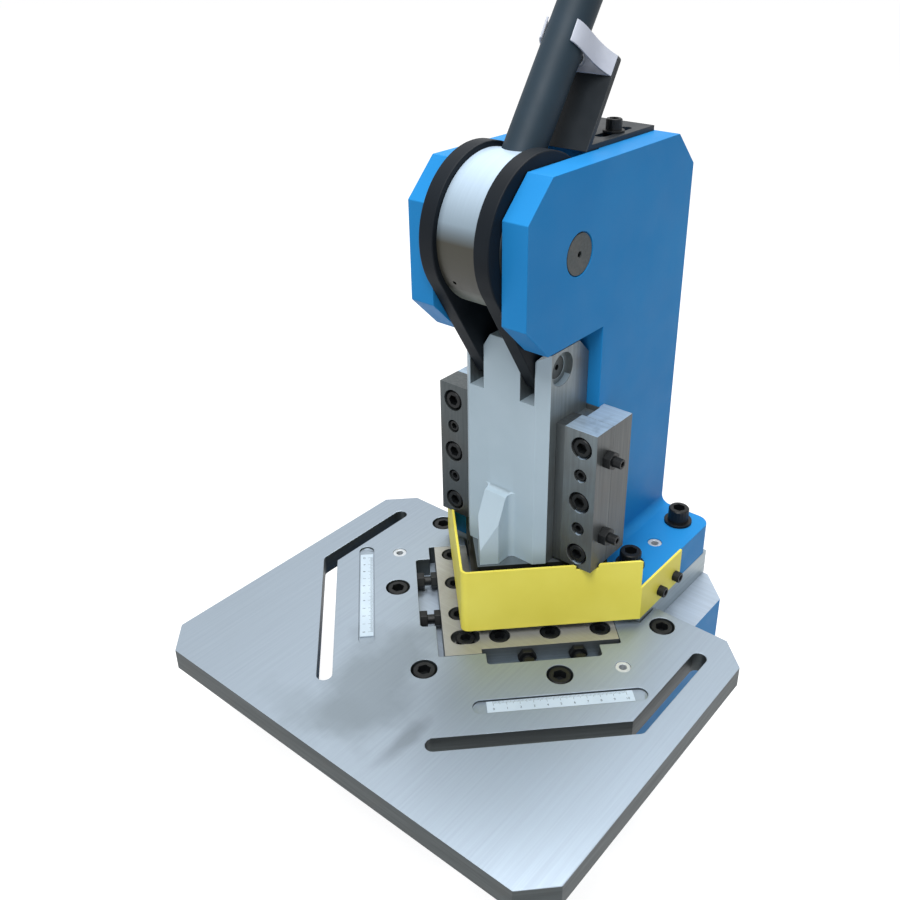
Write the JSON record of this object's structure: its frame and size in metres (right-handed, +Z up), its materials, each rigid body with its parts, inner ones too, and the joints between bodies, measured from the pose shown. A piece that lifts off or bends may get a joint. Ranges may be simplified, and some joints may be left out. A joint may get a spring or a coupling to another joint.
{
  "type": "corner notcher",
  "caption": "Bench corner notcher: a hand lever turns an eccentric that drives a guided ram and V blades through right-angle dies in a table with stops and scales.",
  "frame": {"origin": "midway between the four bench bolt holes, on the ground under the base", "axes": "+X to the right as seen by a person at the front, +Y to the back of the machine, +Z up"},
  "size_m": [0.377, 0.5514, 0.9591],
  "materials": {
    "blue_paint": "semi-gloss blue paint",
    "ground_steel": "ground and lightly oiled",
    "guide_steel": "milled",
    "ram_steel": "pale grey-white coating on the front, ground sides",
    "tool_steel": "ground tool steel",
    "bright_steel": "turned and polished",
    "black_steel": "black oxide",
    "yellow_paint": "satin yellow paint",
    "bronze": "machined bronze",
    "scale_white": "white printed strip",
    "clip_white": "white plastic-dipped strip",
    "grip_rubber": "matte black grip"
  },
  "bodies": {
    "frame": {"base_casting": "blue_paint", "table_plate": "ground_steel", "table_screws": "black_steel", "table_dowels": "bright_steel", "scale_left": "scale_white", "scale_right": "scale_white", "spacer_plate": "guide_steel", "column_casting": "blue_paint", "column_screws": "black_steel", "column_washers": "black_steel", "column_dowels": "bright_steel", "die_block_left": "tool_steel", "die_block_right": "tool_steel", "die_screws_left": "black_steel", "die_screws_right": "black_steel", "jack_screws": "black_steel", "jack_nuts": "black_steel", "guide_block": "guide_steel", "guide_block_screws": "black_steel", "guide_cover_left": "guide_steel", "guide_cover_right": "guide_steel", "guide_screws": "black_steel", "guide_small_screws": "black_steel", "gib_strip_right": "guide_steel", "gib_set_screws": "black_steel", "gib_lock_nuts": "black_steel", "guard": "yellow_paint", "guard_screws": "black_steel", "pivot_shaft": "bright_steel", "rest_bracket": "black_steel", "rest_screws": "black_steel", "rest_washers": "black_steel", "handle_clip": "clip_white", "clip_screw": "bright_steel", "clip_nut": "bright_steel"},
    "lever": {"eccentric_drum": "bright_steel", "pivot_bush_left": "bronze", "pivot_bush_right": "bronze", "handle_tube": "black_steel", "handle_stud": "bright_steel", "handle_grip": "grip_rubber"},
    "links": {"link_left": "black_steel", "link_right": "black_steel"},
    "ram": {"ram": "ram_steel", "link_pin": "bright_steel", "punch_holder": "tool_steel", "punch_screws": "black_steel", "upper_blade_left": "tool_steel", "upper_blade_right": "tool_steel", "blade_screws": "black_steel"}
  },
  "joints": [
    {"name": "handle_pivot", "type": "hinge", "parent": "frame", "child": "lever", "pos_m": [0, 0, 0.4205], "axis": [1, 0, 0], "range_deg": [0, 90]},
    {"name": "ram_slide", "type": "slide", "parent": "frame", "child": "ram", "axis": [0, 0, -1], "range_m": [0, 0.02665]},
    {"name": "link_swing", "type": "hinge", "parent": "lever", "child": "links", "pos_m": [0, -0.01553, 0.43162], "axis": [1, 0, 0], "range_deg": [-90, 0]}
  ],
  "couplings": [
    {"joint": "ram_slide", "follows": "handle_pivot", "m_per_rad": 0.016965},
    {"joint": "link_swing", "follows": "handle_pivot", "ratio": -1}
  ]
}
